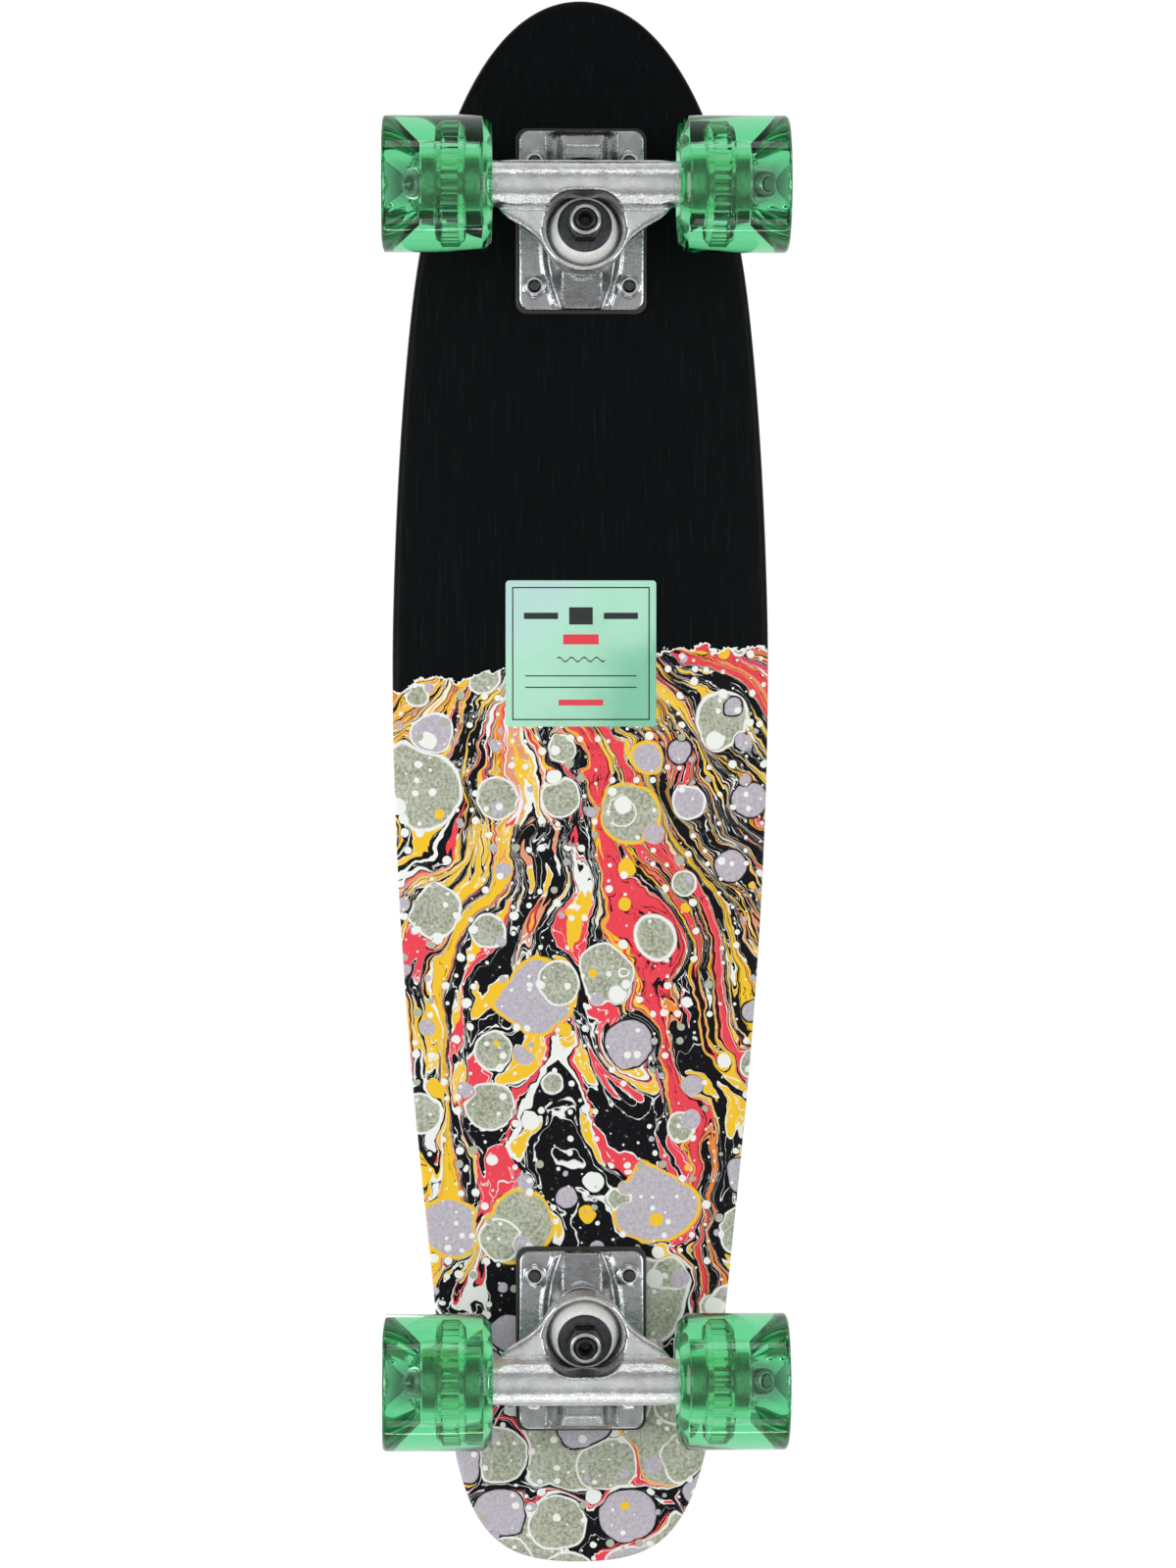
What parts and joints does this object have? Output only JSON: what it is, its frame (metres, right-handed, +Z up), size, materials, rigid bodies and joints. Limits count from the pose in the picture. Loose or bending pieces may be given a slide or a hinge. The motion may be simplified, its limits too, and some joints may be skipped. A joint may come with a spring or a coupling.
{
  "type": "skateboard",
  "caption": "Cruiser skateboard with a kicked wooden deck, grip tape, cast kingpin trucks on risers and clear green wheels on bearings.",
  "frame": {"origin": "on the ground under the middle of the board", "axes": "+X to the nose, +Y to the rider's left along the axles, +Z up"},
  "size_m": [0.6854, 0.1748, 0.1095],
  "materials": {
    "painted_deck": "satin black and marbled paint over maple plies",
    "grip": "coarse abrasive",
    "riser": "matte",
    "cast_aluminium": "as cast with polished edges",
    "steel": "zinc plated",
    "black_steel": "black oxide",
    "black_urethane": "satin",
    "white_urethane": "satin",
    "green_urethane": "clear, glossy",
    "clear_core": "clear, glossy"
  },
  "bodies": {
    "deck": {"deck": "painted_deck", "grip_tape": "grip", "front_riser_pad": "riser", "front_baseplate": "cast_aluminium", "front_pivot_cup": "black_urethane", "front_kingpin": "steel", "front_kingpin_nut": "black_steel", "front_boardside_bushing": "black_urethane", "front_roadside_bushing": "white_urethane", "front_boardside_washer": "steel", "front_roadside_washer": "black_steel", "front_bolt_1": "black_steel", "front_bolt_nut_1": "steel", "front_bolt_2": "black_steel", "front_bolt_nut_2": "steel", "front_bolt_3": "black_steel", "front_bolt_nut_3": "steel", "front_bolt_4": "black_steel", "front_bolt_nut_4": "steel", "rear_riser_pad": "riser", "rear_baseplate": "cast_aluminium", "rear_pivot_cup": "black_urethane", "rear_kingpin": "steel", "rear_kingpin_nut": "black_steel", "rear_boardside_bushing": "black_urethane", "rear_roadside_bushing": "white_urethane", "rear_boardside_washer": "steel", "rear_roadside_washer": "black_steel", "rear_bolt_1": "black_steel", "rear_bolt_nut_1": "steel", "rear_bolt_2": "black_steel", "rear_bolt_nut_2": "steel", "rear_bolt_3": "black_steel", "rear_bolt_nut_3": "steel", "rear_bolt_4": "black_steel", "rear_bolt_nut_4": "steel"},
    "front_truck_hanger": {"front_hanger": "cast_aluminium", "front_axle": "steel", "front_left_axle_nut": "steel", "front_right_axle_nut": "steel"},
    "front_left_wheel": {"front_left_tyre": "green_urethane", "front_left_core": "clear_core", "front_left_inner_bearing": "steel", "front_left_outer_bearing": "steel"},
    "front_right_wheel": {"front_right_tyre": "green_urethane", "front_right_core": "clear_core", "front_right_inner_bearing": "steel", "front_right_outer_bearing": "steel"},
    "rear_truck_hanger": {"rear_hanger": "cast_aluminium", "rear_axle": "steel", "rear_left_axle_nut": "steel", "rear_right_axle_nut": "steel"},
    "rear_left_wheel": {"rear_left_tyre": "green_urethane", "rear_left_core": "clear_core", "rear_left_inner_bearing": "steel", "rear_left_outer_bearing": "steel"},
    "rear_right_wheel": {"rear_right_tyre": "green_urethane", "rear_right_core": "clear_core", "rear_right_inner_bearing": "steel", "rear_right_outer_bearing": "steel"}
  },
  "joints": [
    {"name": "front_steer", "type": "hinge", "parent": "deck", "child": "front_truck_hanger", "pos_m": [0.2361, 0, 0.04536], "axis": [0.8606, 0, 0.5092], "range_deg": [-15, 15], "stiffness_Nm_per_rad": 35, "deforming": ["front_boardside_bushing", "front_roadside_bushing"]},
    {"name": "front_left_spin", "type": "hinge", "parent": "front_truck_hanger", "child": "front_left_wheel", "pos_m": [0.2574, 0.0637, 0.02936], "axis": [0, 1, 0], "continuous": true},
    {"name": "front_right_spin", "type": "hinge", "parent": "front_truck_hanger", "child": "front_right_wheel", "pos_m": [0.2574, -0.0637, 0.02936], "axis": [0, 1, 0], "continuous": true},
    {"name": "rear_steer", "type": "hinge", "parent": "deck", "child": "rear_truck_hanger", "pos_m": [-0.2361, 0, 0.04536], "axis": [-0.8606, 0, 0.5092], "range_deg": [-15, 15], "stiffness_Nm_per_rad": 35, "deforming": ["rear_boardside_bushing", "rear_roadside_bushing"]},
    {"name": "rear_left_spin", "type": "hinge", "parent": "rear_truck_hanger", "child": "rear_left_wheel", "pos_m": [-0.2574, 0.0637, 0.02936], "axis": [0, 1, 0], "continuous": true},
    {"name": "rear_right_spin", "type": "hinge", "parent": "rear_truck_hanger", "child": "rear_right_wheel", "pos_m": [-0.2574, -0.0637, 0.02936], "axis": [0, 1, 0], "continuous": true}
  ]
}
